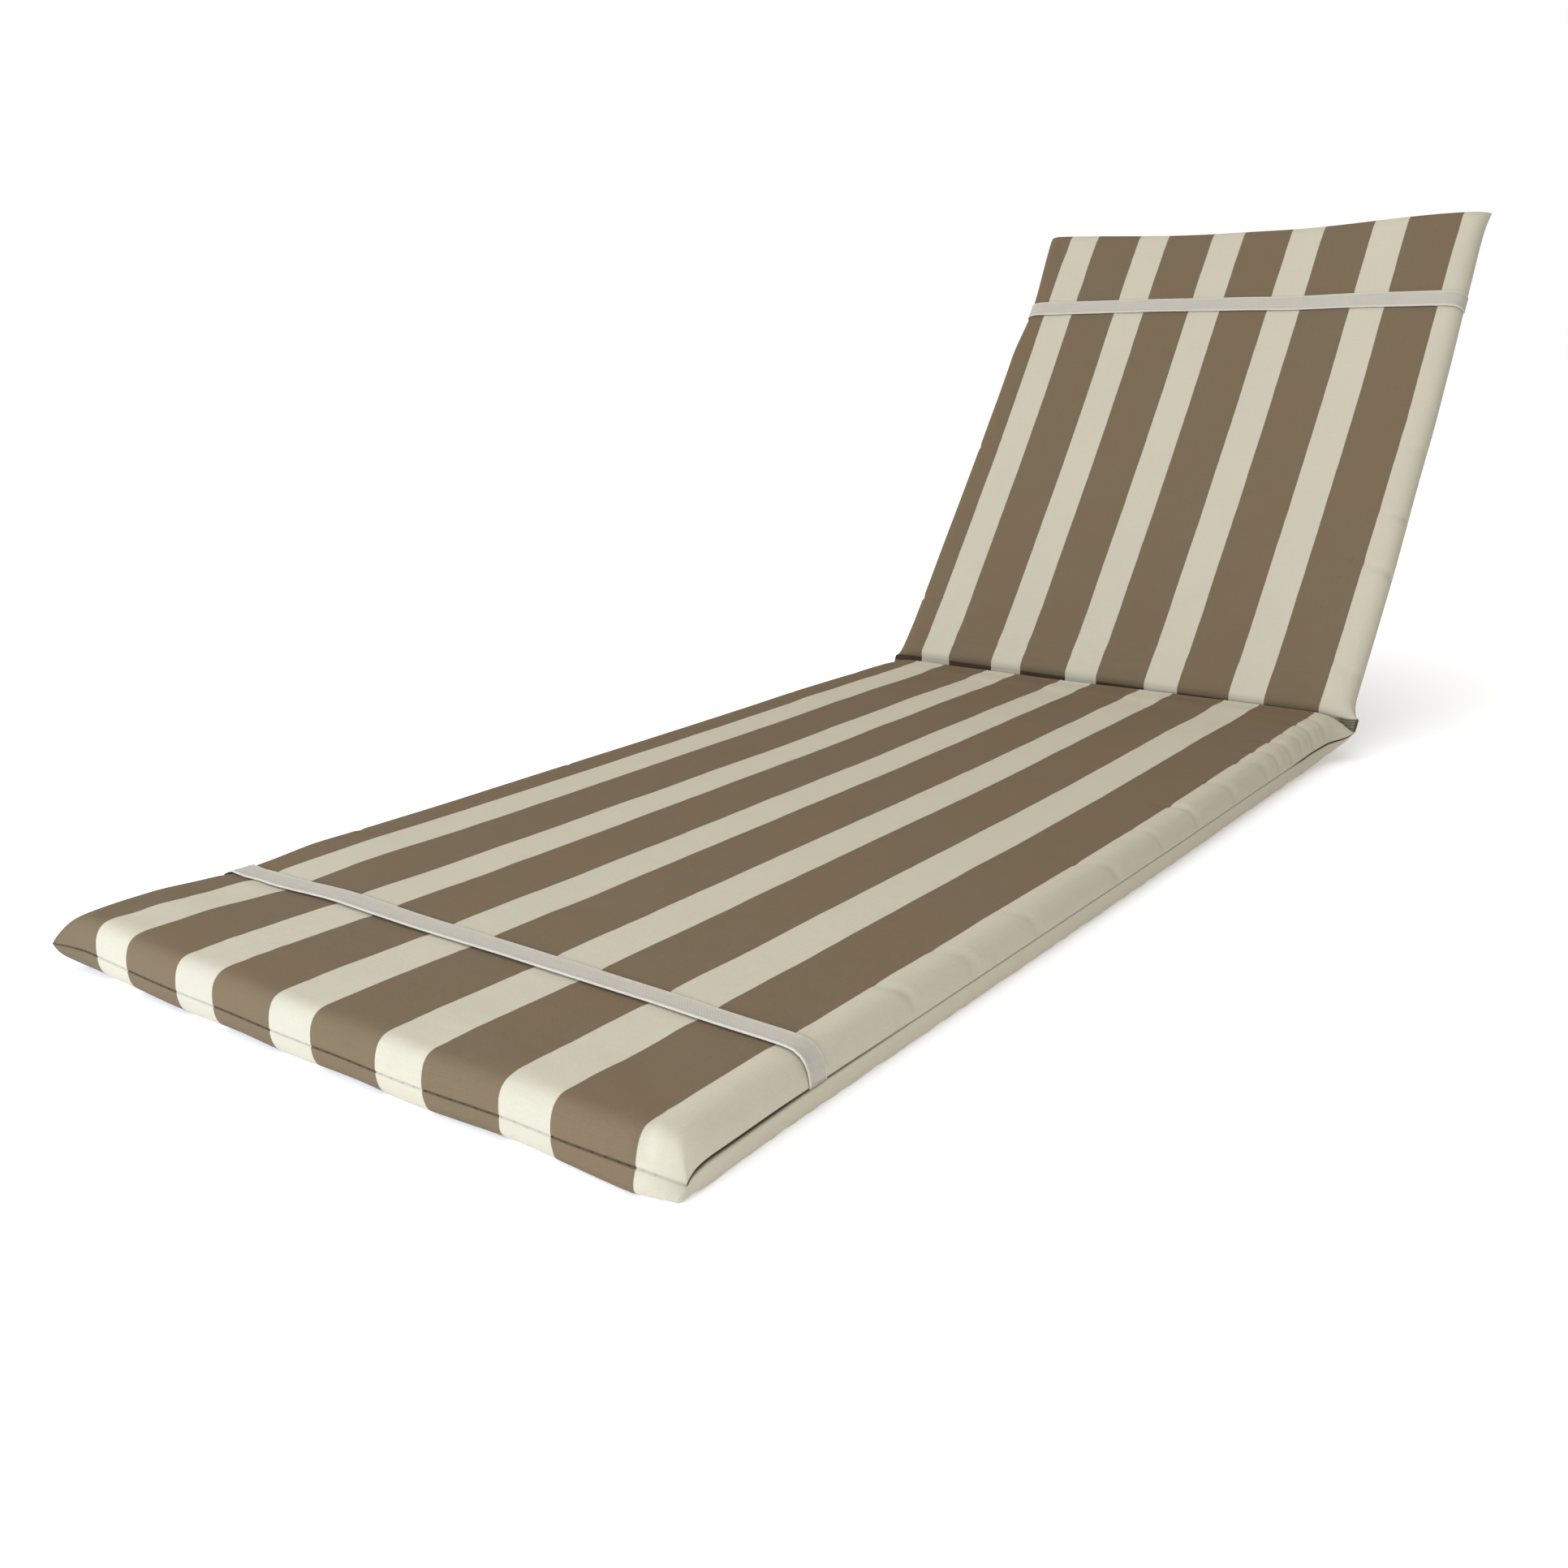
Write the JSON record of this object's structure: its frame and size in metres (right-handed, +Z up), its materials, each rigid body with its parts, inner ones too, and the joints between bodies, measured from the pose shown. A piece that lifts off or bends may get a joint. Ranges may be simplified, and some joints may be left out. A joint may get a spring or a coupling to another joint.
{
  "type": "sun lounger cushion",
  "caption": "Long striped sun lounger cushion: a flat seat pad and a raised back pad joined by a sewn hinge, with an elastic band across the face near each end.",
  "frame": {"origin": "on the floor, under the middle of the whole cushion's bounding box", "axes": "+X across the cushion to the right of a person lying on it, seen from its foot; +Y from foot to head; +Z up"},
  "size_m": [0.6218, 1.561, 0.5927],
  "materials": {
    "cover": "plain woven cotton-like cover, brown and cream stripes along its length, matt",
    "elastic": "woven flat elastic, off-white, matt"
  },
  "bodies": {
    "root": {"cushion": "cover", "strap_foot": "elastic", "strap_head": "elastic"}
  },
  "joints": []
}
